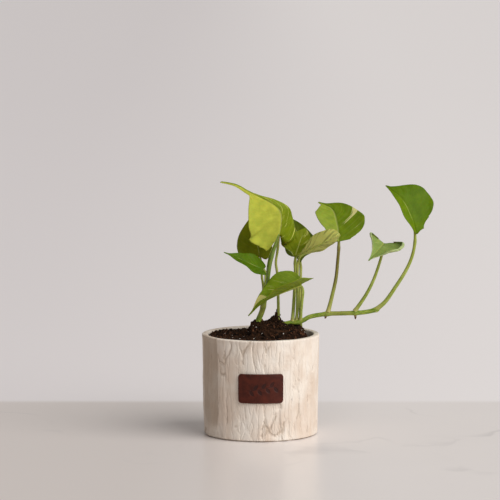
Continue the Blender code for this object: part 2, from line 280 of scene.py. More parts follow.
def pot_profile():
    """The pot's section at +X, from the middle of the inside floor to the middle of the foot."""
    edge, cove = POT_EDGE, POT_COVE
    inside = wall_radius(POT_FLOOR) - POT_WALL
    lip = POT_RADIUS - POT_WALL
    points = [(0, POT_FLOOR)]
    for i in range(9):
        turn = math.radians(90 * i / 8)
        across = inside - cove + cove * math.sin(turn)
        points.append((across, POT_FLOOR + cove - cove * math.cos(turn)))
    low = POT_FLOOR + cove
    for i in range(1, 8):
        share = i / 8
        points.append((inside + (lip - inside) * share, low + (POT_TOP - edge - low) * share))
    points += quarter((lip + edge, POT_TOP - edge), edge, 180, 6)
    flat = POT_WALL - 2 * edge
    points += [(lip + edge + flat * i / 4, POT_TOP) for i in range(1, 4)]
    points += quarter((POT_RADIUS - edge, POT_TOP - edge), edge, 90, 6)
    rows = 140
    for i in range(1, rows + 1):
        height = POT_TOP - edge - (POT_TOP - 2 * edge) * i / rows
        points.append((wall_radius(height), height))
    foot = wall_radius(0)
    undercut = [(foot - 0.8 * MM, 0.8 * MM), (foot - 2.4 * MM, 0.5 * MM), (foot - 2.6 * MM, 0)]
    return [*points, *undercut, (0, 0)]


relief, given, end = geometry_tree("bark_relief", (
    ("Depth", "Float", 1.0 * MM), ("Plane Scale", "Float", 88.0), ("Wall From", "Float", 0.0465),
    ("Ridge Angle", "Float", -2.41), ("Finish", "Material", None)))
position = node(relief, "GeometryNodeInputPosition").outputs["Position"]
split = node(relief, "ShaderNodeSeparateXYZ", {"Vector": position}).outputs
flat = vector_maths(relief, "MULTIPLY", position, (1, 1, 0))
outward = vector_maths(relief, "NORMALIZE", flat)
radius = node(relief, "ShaderNodeVectorMath", {0: flat}, operation="LENGTH").outputs["Value"]
sway = node(relief, "ShaderNodeTexNoise", {"Vector": position, "Scale": 45.0, "Detail": 3.0}).outputs
upright = vector_maths(relief, "MULTIPLY", position, (1, 1, 0.13))
wander = vector_maths(relief, "MULTIPLY_ADD", sway["Color"], (0.009, 0.009, 0.003), upright)

# Each upright cell is a plane with its own lean, and some of the seams between cells are open.
cell = node(relief, "ShaderNodeTexVoronoi", {"Vector": wander, "Scale": given["Plane Scale"]}).outputs
off_centre = vector_maths(relief, "SUBTRACT", wander, cell["Position"])
its_lean = vector_maths(relief, "SUBTRACT", cell["Color"], (0.5, 0.5, 0.5))
lean = node(relief, "ShaderNodeVectorMath", {0: off_centre, 1: its_lean}, operation="DOT_PRODUCT")
plane = maths(relief, "MULTIPLY", lean.outputs["Value"], 120.0)
seam = node(relief, "ShaderNodeTexVoronoi", {"Vector": wander, "Scale": given["Plane Scale"]},
            feature="DISTANCE_TO_EDGE").outputs["Distance"]
open_seam = ramp(relief, cloud(relief, position, 55.0), 0.47, 0.57)
crack = maths(relief, "MULTIPLY", ramp(relief, seam, 0.0, 0.06, 0.65, 0.0), open_seam)
swell = ramp(relief, cloud(relief, wander, 48.0), 0.3, 0.7, 0.55, 0.0)
grain = maths(relief, "MULTIPLY", cloud(relief, wander, 330.0, 3.0, 0.6), 0.30)
depth = maths(relief, "ADD", maths(relief, "ADD", plane, crack), maths(relief, "ADD", swell, grain))
raised = maths(relief, "MAXIMUM", depth, 0.0)

# The one high ridge: the wall drops off sharply past it and comes back slowly.
angle = maths(relief, "ARCTAN2", split["Y"], split["X"])
bent = maths(relief, "MULTIPLY_ADD", sway["Fac"], 0.10, angle)
past = maths(relief, "SUBTRACT", given["Ridge Angle"], bent)
drop = ramp(relief, past, -0.05, 0.03, 0.0, 1.45)
recovered = ramp(relief, past, 0.22, 0.75, 1.0, 0.0)
above_foot = ramp(relief, split["Z"], 0.004, 0.03, 0.2, 1.0)
ridge = product(relief, drop, recovered, above_foot)

on_wall = ramp(relief, radius, given["Wall From"], maths(relief, "ADD", given["Wall From"], 0.0012))
near_rim = ramp(relief, split["Z"], POT_TOP - 6 * MM, POT_TOP - 0.5 * MM, 1.0, 0.35)
drawn = maths(relief, "MULTIPLY", maths(relief, "ADD", raised, ridge),
              maths(relief, "MULTIPLY", on_wall, near_rim))
inward = maths(relief, "MULTIPLY", drawn, maths(relief, "MULTIPLY", given["Depth"], -1.0))
moved = shifted(relief, given["Geometry"], scaled(relief, outward, inward))
at_rim = ramp(relief, split["Z"], POT_TOP - 3 * MM, POT_TOP, 0.0, -0.7 * MM)
settle = maths(relief, "MULTIPLY", cloud(relief, position, 40.0, 2.0), at_rim)
uneven = node(relief, "ShaderNodeCombineXYZ", {"Z": settle}).outputs["Vector"]
rimmed = shifted(relief, moved, uneven)
# Painted shade: the cracks and the facet past the high ridge are marked to be coloured darker and browner, as
# shade falls there.
painted_shade_amount = maths(relief, "MULTIPLY", maths(relief, "ADD", crack, ridge), on_wall)
kept = node(relief, "GeometryNodeStoreNamedAttribute",
            {"Geometry": rimmed, "Name": "furrow", "Value": painted_shade_amount},
            data_type="FLOAT", domain="POINT")
finish_tree(relief, kept.outputs["Geometry"], given["Finish"], end)


def shader_group(name, inputs, outputs):
    """A shader node group with named sockets; returns the tree, its inputs and its output node."""
    made = bpy.data.node_groups.new(name, "ShaderNodeTree")
    for label, kind, value in inputs:
        socket = made.interface.new_socket(label, in_out="INPUT", socket_type="NodeSocket" + kind)
        if value is not None:
            socket.default_value = value
    for label, kind in outputs:
        made.interface.new_socket(label, in_out="OUTPUT", socket_type="NodeSocket" + kind)
    return made, node(made, "NodeGroupInput").outputs, node(made, "NodeGroupOutput")


# Cloudy change between two colours, as in cement, leather, peat and living tissue.
mottle, given, end = shader_group("mottle", (
    ("Vector", "Vector", None), ("Light", "Color", (1, 1, 1, 1)), ("Dark", "Color", (0, 0, 0, 1)),
    ("Scale", "Float", 100.0), ("Detail", "Float", 4.0), ("Contrast", "Float", 0.3)),
    (("Color", "Color"), ("Mask", "Float")))
spread = cloud(mottle, given["Vector"], given["Scale"], given["Detail"])
least = maths(mottle, "SUBTRACT", 0.5, given["Contrast"])
most = maths(mottle, "ADD", 0.5, given["Contrast"])
share = ramp(mottle, spread, least, most)
mottle.links.new(mix(mottle, share, given["Light"], given["Dark"]), end.inputs["Color"])
mottle.links.new(share, end.inputs["Mask"])


def placed_group(tree, made, **values):
    """The outputs of a group placed in a material's tree; an input's name has _ for each space."""
    placed = node(tree, "ShaderNodeGroup", node_tree=made)
    for name, value in values.items():
        socket = placed.inputs[name.replace("_", " ")]
        if isinstance(value, bpy.types.NodeSocket):
            tree.links.new(value, socket)
        elif socket.type == "RGBA":
            socket.default_value = (*value, 1)
        else:
            socket.default_value = value
    return placed.outputs


cement, tree, shader = new_material("cement_finish", Roughness=0.82)
shader.inputs["Specular IOR Level"].default_value = 0.25
place = own_place(tree)
broad = placed_group(tree, mottle, Vector=place, Light=(0.84, 0.775, 0.70), Dark=(0.70, 0.585, 0.49),
                     Scale=40.0, Contrast=0.2)
upright = vector_maths(tree, "MULTIPLY", place, (1, 1, 0.12))
streaks = placed_group(tree, mottle, Vector=upright, Light=(1, 1, 1), Dark=(0.86, 0.80, 0.73),
                       Scale=250.0, Contrast=0.2)
stained = mix(tree, 0.4, broad["Color"], streaks["Color"], "MULTIPLY")
# Painted shade: the cracks and the facet past the ridge are mixed towards a dark brown.
furrow = attribute(tree, "furrow")
painted_shade_share = ramp(tree, furrow, 0.15, 0.7, 0.0, 0.55)
tree.links.new(mix(tree, painted_shade_share, stained, (0.36, 0.27, 0.19)), shader.inputs["Base Color"])
grit = cloud(tree, place, 1500.0, 3.0)
fibres = cloud(tree, upright, 900.0, 3.0)
wavy = node(tree, "ShaderNodeTexNoise", {"Vector": place, "Scale": 80.0, "Detail": 3.0}).outputs["Color"]
crooked = vector_maths(tree, "MULTIPLY_ADD", wavy, (0.006, 0.006, 0.002), upright)
hairline = node(tree, "ShaderNodeTexVoronoi", {"Vector": crooked, "Scale": 190.0},
                feature="DISTANCE_TO_EDGE").outputs["Distance"]
sunk = ramp(tree, hairline, 0.0, 0.12, 0.0, 2.2)
set_bump(tree, shader, maths(tree, "ADD", maths(tree, "ADD", grit, fibres), sunk), 0.14 * MM, 0.8)

mesh = bpy.data.meshes.new("pot_section")
section = [(x, 0, z) for x, z in pot_profile()]
mesh.from_pydata(section, [(i, i + 1) for i in range(len(section) - 1)], [])
turning = place_object("pot_section", mesh)
screw = turning.modifiers.new("turned", "SCREW")
screw.steps = screw.render_steps = 500
screw.use_merge_vertices = True
screw.merge_threshold = 0.00001
screw.use_smooth_shade = True
use_tree(turning, relief, Depth=1.0 * MM, Finish=cement, Ridge_Angle=-2.38)
pot = plain_mesh("bark_pot", turning)
give(pot, "cement", "cement_pot")

# ------------------------------------------------------------------------------------------------
# The label: a patch of oxblood leather 39 x 25 mm with round corners, glued round the wall. Its
# edge is pressed down, and a plain sprig is pressed into its face.

LABEL_SIZE = Vector((39 * MM, 25 * MM))
LABEL_MIDDLE = 45.5 * MM
LABEL_CORNER = 3 * MM
LABEL_THICKNESS = 1.2 * MM


def in_corner(across, up):
    """A point of the plain rectangle moved into the one with round corners."""
    inner = LABEL_SIZE / 2 - Vector((LABEL_CORNER, LABEL_CORNER))
    past = Vector((max(0.0, abs(across) - inner.x), max(0.0, abs(up) - inner.y)))
    if past.x > 0 and past.y > 0:
        past *= max(past) / past.length
    return (math.copysign(min(abs(across), inner.x) + past.x, across),
            math.copysign(min(abs(up), inner.y) + past.y, up))


def from_edge(across, up):
    """How far a point of the label is inside its edge."""
    inner = LABEL_SIZE / 2 - Vector((LABEL_CORNER, LABEL_CORNER))
    past = Vector((abs(across) - inner.x, abs(up) - inner.y))
    if past.x > 0 and past.y > 0:
        return LABEL_CORNER - past.length
    return LABEL_CORNER - max(past)


def sprig(across, up):
    """How deep the sprig is pressed, from 0 to 1: a bent stem with seven pointed leaves."""
    stem = 1.6 * MM * math.sin(across / (7 * MM))
    pressed = 0.0
    if abs(across) < 12 * MM:
        pressed = max(0.0, 1 - abs(up - stem) / (0.45 * MM))
    for i in range(7):
        foot = (-9.5 + 3.4 * i) * MM
        side = 1 if i % 2 else -1
        turn = math.radians(52) * side
        dx, dy = across - foot, up - 1.6 * MM * math.sin(foot / (7 * MM))
        along = dx * math.cos(turn) + dy * math.sin(turn)
        beside = dy * math.cos(turn) - dx * math.sin(turn)
        share = along / (6.6 * MM)
        if 0 < share < 1:
            half = 1.6 * MM * math.sin(math.pi * share ** 0.8)
            inside = max(0.0, min(1.0, (half - abs(beside)) / (0.4 * MM)))
            vein = max(0.0, 1 - abs(beside) / (0.3 * MM))
            pressed = max(pressed, inside * (1 - 0.8 * vein))
    return pressed


leather, tree, shader = new_material("leather_finish", Roughness=0.5)
shader.inputs["Specular IOR Level"].default_value = 0.22
place = own_place(tree)
hide = placed_group(tree, mottle, Vector=place, Light=(0.085, 0.014, 0.006), Dark=(0.044, 0.007, 0.003),
                    Scale=160.0, Contrast=0.25)
pressed = attribute(tree, "pressed")
darker = ramp(tree, pressed, 0.1, 0.9, 0.0, 0.8)
tree.links.new(mix(tree, darker, hide["Color"], (0.022, 0.007, 0.006)), shader.inputs["Base Color"])
pores = node(tree, "ShaderNodeTexVoronoi", {"Vector": place, "Scale": 1500.0}).outputs["Distance"]
set_bump(tree, shader, maths(tree, "ADD", pores, cloud(tree, place, 700.0, 3.0)), 0.10 * MM, 0.6)

columns, rows = 130, 84
shell = bmesh.new()
depth_layer = shell.verts.layers.float.new("pressed")
for front in (True, False):
    grid = []
    for j in range(rows + 1):
        line = []
        for i in range(columns + 1):
            across, up = in_corner(LABEL_SIZE.x * (i / columns - 0.5), LABEL_SIZE.y * (j / rows - 0.5))
            inset = from_edge(across, up)
            out = GAP
            press = 0.0
            if front:
                round_edge = min(1.0, max(0.0, inset) / (0.9 * MM))
                groove = max(0.0, 1 - abs(inset - 1.7 * MM) / (0.35 * MM))
                press = max(sprig(across, up), groove * 0.7)
                out += LABEL_THICKNESS * math.sqrt(1 - (1 - round_edge) ** 2) - 0.28 * MM * press
            height = LABEL_MIDDLE + up
            away = wall_radius(height) + out
            turn = across / POT_RADIUS
            vertex = shell.verts.new((away * math.sin(turn), -away * math.cos(turn), height))
            vertex[depth_layer] = press
            line.append(vertex)
        grid.append(line)
    for j in range(rows):
        for i in range(columns):
            corners = [grid[j][i], grid[j][i + 1], grid[j + 1][i + 1], grid[j + 1][i]]
            shell.faces.new(corners if front else corners[::-1])
bmesh.ops.remove_doubles(shell, verts=shell.verts, dist=0.01 * MM)
mesh = finished_mesh(shell, "leather_patch", leather)
mesh.shade_smooth()
give(place_object("leather_patch", mesh), "leather", "leather_label")

# ------------------------------------------------------------------------------------------------
# The soil: dark moist peat a little under the rim, heaped round the stems. Loose crumbs, chips of
# bark and a few white grains of perlite lie on it.

SOIL_BELOW_RIM = 2.4
MOUND_HEIGHT = 12.0


def step_up(value, start, soft):
    return 1 / (1 + math.exp(-(value - start) / soft))


def hump(x, y, place, width):
    return math.exp(-((x - place[0]) ** 2 + (y - place[1]) ** 2) / (2 * width * width))


def soil_level(x, y):
    """Height of the soil in millimetres from the rim: the mound with its crumbs."""
    low = -SOIL_BELOW_RIM - 3 * step_up(x, 22, 5)
    across = step_up(x, -9, 1.6) * (1 - step_up(x, 37, 1.4))
    along = step_up(y, -19, 4.5) * (1 - step_up(y, 19, 4.5))
    mound = MOUND_HEIGHT * across * along
    mound += 3.5 * hump(x, y, (-5, -6), 3.5) + 4.5 * hump(x, y, (12, 5), 3)
    mound += 7.5 * hump(x, y, (14.4, 4), 1.25)
    crumbs = 0.9 * noise.noise(Vector((x * 0.33, y * 0.33, 4.1)))
    crumbs += 0.9 * noise.noise(Vector((x * 0.9, y * 0.9, 1.7)))
    crumbs += 0.55 * noise.noise(Vector((x * 2.2, y * 2.2, 8.3)))
    rim = min(1.0, max(0.0, (43 - math.hypot(x, y)) / 6))
    return low + mound * rim + crumbs


def clods_finish(name, light, dark, scale, roughness, distance):
    """A rough, crumbly finish of two tones."""
    made, tree, shader = new_material(name, Roughness=roughness)
    place = own_place(tree)
    tone = placed_group(tree, mottle, Vector=place, Light=light, Dark=dark, Scale=scale, Contrast=0.18)
    tree.links.new(tone["Color"], shader.inputs["Base Color"])
    shader.inputs["Specular IOR Level"].default_value = 0.12
    clods = node(tree, "ShaderNodeTexVoronoi", {"Vector": place, "Scale": scale * 4}).outputs["Distance"]
    rough = maths(tree, "MULTIPLY_ADD", cloud(tree, place, scale * 8, 4.0, 0.7), 1.4, clods)
    set_bump(tree, shader, rough, distance)
    return made


peat = clods_finish("peat_finish", (0.050, 0.020, 0.008), (0.006, 0.003, 0.0015), 240.0, 0.8, 0.5 * MM)
chips_of_bark = clods_finish("bark_chip_finish", (0.17, 0.07, 0.032), (0.055, 0.022, 0.012), 300.0, 0.75,
                             0.3 * MM)
white_grain = clods_finish("perlite_finish", (0.82, 0.79, 0.74), (0.62, 0.57, 0.50), 900.0, 0.85, 0.2 * MM)

turns, rings = 260, 84
inside_top = POT_RADIUS - POT_WALL - GAP
inside_low = wall_radius(POT_FLOOR) - POT_WALL - GAP
bottom = POT_FLOOR + GAP
shell = bmesh.new()
circles = [[shell.verts.new((0, 0, POT_TOP + soil_level(0, 0) * MM))]]
for ring in range(1, rings + 1):
    wide = inside_top * ring / rings
    circles.append([])
    for i in range(turns):
        x, y = wide * math.cos(math.tau * i / turns), wide * math.sin(math.tau * i / turns)
        level = POT_TOP + soil_level(x / MM, y / MM) * MM
        circles[-1].append(shell.verts.new((x, y, level)))
for wide, height in ((inside_low, bottom + POT_COVE + GAP), (inside_low - POT_COVE - GAP, bottom)):
    circles.append([])
    for i in range(turns):
        turn = math.tau * i / turns
        circles[-1].append(shell.verts.new((wide * math.cos(turn), wide * math.sin(turn), height)))
for i in range(turns):
    shell.faces.new((circles[0][0], circles[1][i], circles[1][(i + 1) % turns]))
for inner, outer in zip(circles[1:], circles[2:]):
    for i in range(turns):
        j = (i + 1) % turns
        shell.faces.new((inner[i], outer[i], outer[j], inner[j]))
shell.faces.new(circles[-1][::-1])
mesh = finished_mesh(shell, "soil_bed", peat)
mesh.shade_smooth()
soil_bed = place_object("soil_bed", mesh)
give(soil_bed, "peat", "soil")

# Lumps strewn over an upward face: each is a pebble drawn out of round and dented by noise.
strewn, given, end = geometry_tree("strewn_lumps", (
    ("Density", "Float", 4e5), ("Smallest", "Float", 0.5 * MM), ("Largest", "Float", 1.2 * MM),
    ("Flatness", "Float", 0.7), ("Roundness", "Int", 1), ("Seed", "Int", 1), ("Reach", "Float", 0.044),
    ("Finish", "Material", None)))
position = node(strewn, "GeometryNodeInputPosition").outputs["Position"]
split = node(strewn, "ShaderNodeSeparateXYZ", {"Vector": position}).outputs
facing = node(strewn, "ShaderNodeSeparateXYZ",
              {"Vector": node(strewn, "GeometryNodeInputNormal").outputs["Normal"]}).outputs["Z"]
flat = node(strewn, "ShaderNodeCombineXYZ", {"X": split["X"], "Y": split["Y"]}).outputs["Vector"]
from_axis = node(strewn, "ShaderNodeVectorMath", {0: flat}, operation="LENGTH").outputs["Value"]
within = maths(strewn, "LESS_THAN", from_axis, given["Reach"])
top_only = maths(strewn, "MULTIPLY", within, maths(strewn, "GREATER_THAN", facing, 0.15))
points = node(strewn, "GeometryNodeDistributePointsOnFaces",
              {"Mesh": given["Geometry"], "Selection": top_only, "Density": given["Density"],
               "Seed": given["Seed"]}).outputs
lump = node(strewn, "GeometryNodeMeshIcoSphere", {"Radius": 0.5, "Subdivisions": given["Roundness"]})
spun = node(strewn, "FunctionNodeRandomValue", {"Max": (6.3, 6.3, 6.3), "Seed": given["Seed"]},
            data_type="FLOAT_VECTOR").outputs["Value"]
size = node(strewn, "FunctionNodeRandomValue", {"Seed": 7}, data_type="FLOAT")
strewn.links.new(given["Smallest"], size.inputs[2])
strewn.links.new(given["Largest"], size.inputs[3])
size = size.outputs[1]
long_way = maths(strewn, "DIVIDE", size, given["Flatness"])
shape = node(strewn, "ShaderNodeCombineXYZ",
             {"X": long_way, "Y": size, "Z": maths(strewn, "MULTIPLY", size, given["Flatness"])})
lumps = node(strewn, "GeometryNodeInstanceOnPoints",
             {"Points": points["Points"], "Instance": lump.outputs["Mesh"], "Scale": shape.outputs["Vector"]})
strewn.links.new(spun, lumps.inputs["Rotation"])
real = node(strewn, "GeometryNodeRealizeInstances",
            {"Geometry": lumps.outputs["Instances"]}).outputs["Geometry"]
dents = node(strewn, "ShaderNodeTexNoise",
             {"Vector": position, "Scale": 1300.0, "Detail": 1.0}).outputs["Color"]
push = vector_maths(strewn, "MULTIPLY", vector_maths(strewn, "SUBTRACT", dents, (0.5, 0.5, 0.5)),
                    (0.7 * MM, 0.7 * MM, 0.5 * MM))
finish_tree(strewn, shifted(strewn, real, push), given["Finish"], end)

LITTER = (
    ("peat_crumbs", peat, dict(Density=4.6e5, Smallest=0.5 * MM, Largest=1.7 * MM, Seed=3)),
    ("peat_clods", peat, dict(Density=4.5e4, Smallest=1.8 * MM, Largest=3.2 * MM, Roundness=2, Seed=5)),
    ("bark_chips", chips_of_bark,
     dict(Density=3.0e4, Smallest=1.0 * MM, Largest=2.4 * MM, Flatness=0.5, Seed=9)),
    ("perlite_grains", white_grain, dict(Density=5e3, Smallest=0.8 * MM, Largest=1.5 * MM, Flatness=0.85,
                                         Roundness=2, Seed=12)),
)
for name, finish, values in LITTER:
    strewing = place_object(name + "_bed", soil_bed.data.copy())
    use_tree(strewing, strewn, Reach=inside_top - 1.5 * MM, Finish=finish, **values)
    litter = plain_mesh(name, strewing)
    give(litter, "peat", "soil")

# ------------------------------------------------------------------------------------------------
# The leaves' shapes come first, because each stalk runs on as the rib under its blade. A blade is
# one thin sheet hung on its midrib, as in the CAD, with a wavy edge and a smooth outline.

LEAF_THICKNESS = 0.7

# Half width of a leaf along its length, as shares of its widest half width.
LEAF_SHAPE = (
    (0.0, 0.40),
    (0.03, 0.64),
    (0.08, 0.84),
    (0.16, 0.97),
    (0.28, 1.0),
    (0.42, 0.91),
    (0.56, 0.72),
    (0.70, 0.48),
    (0.80, 0.30),
    (0.88, 0.16),
    (0.95, 0.07),
    (1.0, 0.03),
)


def at(point):
    """A plant point, in millimetres from the middle of the pot's rim, in the part's frame."""
    return Vector((point[0] * MM, point[1] * MM, POT_TOP + point[2] * MM))


def smooth_path(points, count):
    """A Catmull-Rom curve through the points, as points evenly spaced along it."""
    ends = [points[0] * 2 - points[1], *points, points[-1] * 2 - points[-2]]
    fine = []
    for i in range(1, len(ends) - 2):
        p0, p1, p2, p3 = ends[i - 1 : i + 3]
        for step in range(12):
            s = step / 12
            turn = (p2 - p0) * s + (p0 * 2 - p1 * 5 + p2 * 4 - p3) * s * s
            fine.append(p1 + (turn + (p1 * 3 - p0 - p2 * 3 + p3) * s * s * s) / 2)
    fine.append(points[-1])
    runs = [0.0]
    for before, after in zip(fine, fine[1:]):
        runs.append(runs[-1] + (after - before).length)
    spaced = []
    for index in range(count):
        want = runs[-1] * index / (count - 1)
        j = max(k for k in range(len(runs) - 1) if runs[k] <= want + 1e-12)
        share = (want - runs[j]) / (runs[j + 1] - runs[j])
        spaced.append(fine[j].lerp(fine[j + 1], min(1.0, share)))
    return spaced


def level(table, t):
    """The value at t of a table of (t, value) points joined by straight lines."""
    for (t0, low), (t1, high) in zip(table, table[1:]):
        if t <= t1:
            return low + (high - low) * (t - t0) / (t1 - t0)
    return table[-1][1]


def rounded_level(table, t):
    """The same table joined by a smooth line."""
    soft = 0.035
    steps = [level(table, min(1.0, max(0.0, t + soft * k / 3))) for k in (-3, -2, -1, 0, 1, 2, 3)]
    return sum(steps) / 7 if soft < t < 1 - soft else level(table, t)


class Leaf:
    """A heart-shaped blade hung on its midrib, in plant millimetres.

    rib: points from the notch at the stalk to the tip; face: the way the upper side looks;
    half: widest half width left and right of the rib, seen from above with the tip ahead;
    fold: how far each half is lifted from flat, in degrees; curl: how much more it is lifted at
    its edge; lobe: how far each lobe reaches back past the notch, as a share of the length
    (below zero, the blade starts as a wedge); drip: share of the length that is narrow drip tip;
    belly: above one, the widest place of that half moves towards the tip, below one to the stalk;
    ear: how wide each half starts at the notch, as a share of the usual; roll: extra turn of the
    outer part of each half, in degrees.
    """

    def __init__(self, rib, face, half, fold=(10, 10), curl=(0, 0), lobe=(0.1, 0.1), drip=0.1,
                 belly=(1.0, 1.0), ear=(1.0, 1.0), roll=(0, 0)):
        self.line = smooth_path([Vector(p) for p in rib], 41)
        self.length = sum((b - a).length for a, b in zip(self.line, self.line[1:]))
        self.chord = (self.line[32] - self.line[0]).normalized()
        self.face = Vector(face)
        self.half = half
        self.fold = fold
        self.curl = curl
        self.lobe = lobe
        self.drip = drip
        self.belly = belly
        self.ear = ear
        self.roll = roll

    def frame(self, t):
        """The midrib point at t, its direction, the blade's right side and its upper side."""
        place = t * 40
        i = min(39, int(place))
        point = self.line[i].lerp(self.line[i + 1], place - i)
        before = self.line[max(0, i - 1)].lerp(self.line[i], place - i)
        after = self.line[min(40, i + 1)].lerp(self.line[min(40, i + 2)], place - i)
        ahead = (after - before).normalized()
        side = (ahead * 0.3 + self.chord * 0.7).cross(self.face).normalized()
        return point, ahead, side, side.cross(ahead).normalized()

    def point(self, t, v, wave=0.0):
        """The middle of the blade at t along the rib and v (-1 to 1) across it."""
        point, ahead, side, up = self.frame(t)
        which = 1 if v > 0 else 0
        blade = 1 - self.drip
        share = 0.96 * t / blade if t < blade else 0.96 + 0.04 * (t - blade) / self.drip
        wide = self.half[which] * rounded_level(LEAF_SHAPE, share ** self.belly[which])
        wide *= self.ear[which] + (1 - self.ear[which]) * min(1.0, t / 0.22)
        reach = abs(v)
        out = lift = 0.0
        for piece in range(12):
            mid = reach * (piece + 0.5) / 12
            angle = self.fold[which] + self.curl[which] * mid
            angle += self.roll[which] * max(0.0, mid - 0.82) / 0.18
            out += math.cos(math.radians(angle)) * wide * reach / 12
            lift += math.sin(math.radians(angle)) * wide * reach / 12
        lift += wave * reach ** 3 * math.sin(15 * t + 3 * which) * min(1.0, 6 * (1 - t)) * wide / 18
        back = max(0.0, reach - 0.14) / 0.86
        back = self.lobe[which] * self.length * back * (2 - back) * (1 - t) ** 3
        return point + side * math.copysign(out, v) + up * lift - ahead * back


LEAVES = {
    "a": Leaf(
        rib=((15.5, -4, 83), (17.4, -5, 96), (16.2, -6, 105), (8.5, -5, 111.8), (-1.8, -4, 116.8),
             (-10.6, -2, 121.0), (-21.0, 0, 126.4), (-33.8, 4, 128.6)),
        face=(-0.2, -0.95, 0.25), half=(33.5, 20), fold=(5, -20), curl=(10, -24), lobe=(0.11, 0.15),
        drip=0.36, belly=(1.6, 0.42), ear=(0.8, 1.0)),
    "b": Leaf(
        rib=((-0.5, 7, 64), (-3, 9, 77), (-4, 12, 93), (-3, 15, 108)),
        face=(-0.15, -0.95, 0.2), half=(18, 13), fold=(8, 8), curl=(10, 10), lobe=(0.06, 0.06)),
    "c": Leaf(
        rib=((1.8, -14, 56), (-8, -17.5, 61), (-19, -21, 66.5), (-31, -23, 71.7)),
        face=(-0.2, -0.5, 0.85), half=(15, 12), fold=(8, 8), curl=(8, 8), lobe=(0.07, 0.07)),
    "d": Leaf(
        rib=((34.5, -10, 43), (22, -15, 38.5), (9.5, -19, 33), (-1.5, -23, 26.5), (-10.4, -26, 18)),
        face=(0.1, -0.37, 0.93), half=(22, 16.5), fold=(50, 50), curl=(5, 5), lobe=(0.21, 0.02),
        belly=(1.3, 1.0), ear=(0.4, 1.0)),
    "e": Leaf(
        rib=((29.1, 4.5, 64.3), (33.4, 8, 77), (37, 13, 85), (38.5, 19, 88)),
        face=(-0.15, -0.8, 0.55), half=(15, 15), fold=(10, 10), curl=(10, 10), lobe=(-0.13, -0.13)),
    "f": Leaf(
        rib=((32.1, -5, 66), (42, -8, 72), (53, -10, 78.5), (62.5, -8, 83), (67, 0, 83.5), (67, 8, 81)),
        face=(-0.3, 0.75, 0.55), half=(13.5, 11), fold=(10, 10), curl=(15, 15), lobe=(-0.15, -0.1),
        belly=(1.9, 1.9)),
    "g": Leaf(
        rib=((34, 16, 59), (33.6, 20, 73), (29.4, 25, 87.5), (20, 29, 100)),
        face=(0.1, -0.95, 0.25), half=(14, 14), fold=(5, 5), curl=(10, 10), lobe=(-0.1, -0.1)),
    "h": Leaf(
        rib=((66.6, 8, 77), (65, 18, 91), (61.2, 30, 102.5), (49.6, 36, 108)),
        face=(0.0, -0.75, 0.65), half=(18, 24.5), fold=(10, 5), curl=(15, 10), lobe=(0.0, 0.0),
        belly=(2.7, 1.3)),
    "i": Leaf(
        rib=((104.5, 0, 77), (99, -10, 72), (90.7, -20, 64)),
        face=(-0.1, -0.6, 0.8), half=(24, 17), fold=(2, 20), curl=(18, 12), lobe=(0.08, 0.0),
        belly=(0.8, 0.4), roll=(230, 230)),
    "j": Leaf(
        rib=((132.3, 3, 84), (127.5, 6, 99), (120.0, 12, 113), (106.3, 18, 124)),
        face=(0.57, -0.82, 0.25), half=(9, 25.5), fold=(10, 10), curl=(8, 6), lobe=(-0.05, -0.05),
        drip=0.06, belly=(1.7, 2.0), ear=(0.8, 0.8)),
}

# ------------------------------------------------------------------------------------------------
# The stems and stalks: juicy round stems with a shallow channel down the upper side, swollen at
# the joints. Stalks a and g stand in the soil; the stem carries b and c, the runner the other six.

# Stalk of each leaf from its foot: points, and the radius at foot and at the blade.
STALKS = {
    "a": (((15.5, 3.5, -2), (15.1, 3.5, 27.7), (14.2, 3.5, 50), (13, 3.5, 59.4), (14.3, 3, 69)), (1.5, 1.1)),
    "b": (((4.3, -5.9, 38.6), (4.1, -4, 41.4), (4.1, 3, 50.8), (1.2, 8, 56)), (1.2, 1.0)),
    "c": (((2.5, -9.4, 38.6), (2.0, -10.5, 43), (1.1, -13, 49.3)), (1.2, 1.0)),
    "d": (((33.8, -3, 12.9), (34.2, -5.5, 20), (34.8, -7.5, 26.5), (35.6, -9.5, 37)), (1.5, 1.3)),
    "e": (((27.2, -2, 12.2), (28.3, -1, 28.2), (29.4, 2.5, 50), (29.2, 5.5, 58)), (1.5, 1.2)),
    "f": (((30.5, -2.4, 12.4), (31.0, -3.5, 20), (31.2, -4.5, 36.5), (31.3, -4, 55.4), (31.8, -3, 61)),
          (1.3, 1.1)),
    "g": (((34.5, 5.5, -2), (33.6, 8, 27), (34.2, 13, 48), (34.3, 16.5, 54)), (1.4, 1.2)),
    "h": (((57.6, -1.5, 19.6), (60.7, 2, 31.3), (64.1, 6, 46.2), (65.8, 8.5, 63), (66.4, 8.5, 71)),
          (1.7, 1.3)),
    "i": (((81.3, -2, 20.5), (89.4, -3, 32.8), (96.1, -3, 46.4), (101.1, -1, 60.8), (103.6, 1, 70)),
          (1.8, 1.2)),
    "j": (((98.8, -2, 20.6), (106.3, -3, 27.6), (114.2, -2, 39), (123, 0, 52.7), (128.4, 2, 64.6),
           (130.9, 3.5, 76)), (2.0, 1.4)),
}
STEM_PATH = ((-3.0, -6, -6), (-2.2, -6, 9.2), (1.2, -7, 18.8), (2.9, -8, 26.6), (4.1, -8, 38.2))
RUNNER_PATH = ((14, -2, -2), (17.3, -2, 6), (24.1, -2, 8.7), (31.8, -2, 9.5), (36.8, -2, 11.2),
               (42.8, -2, 14.2), (56.4, -2, 16.4), (67.4, -2, 16.8), (80.1, -2, 17.2),
               (89.5, -2, 18), (98, -2, 20))
SPEAR_PATH = ((5.5, -8.6, 38.6), (7.1, -9, 56.6), (9.2, -9.5, 66.8), (12.1, -10, 75.4), (15.3, -10.5, 85.5))

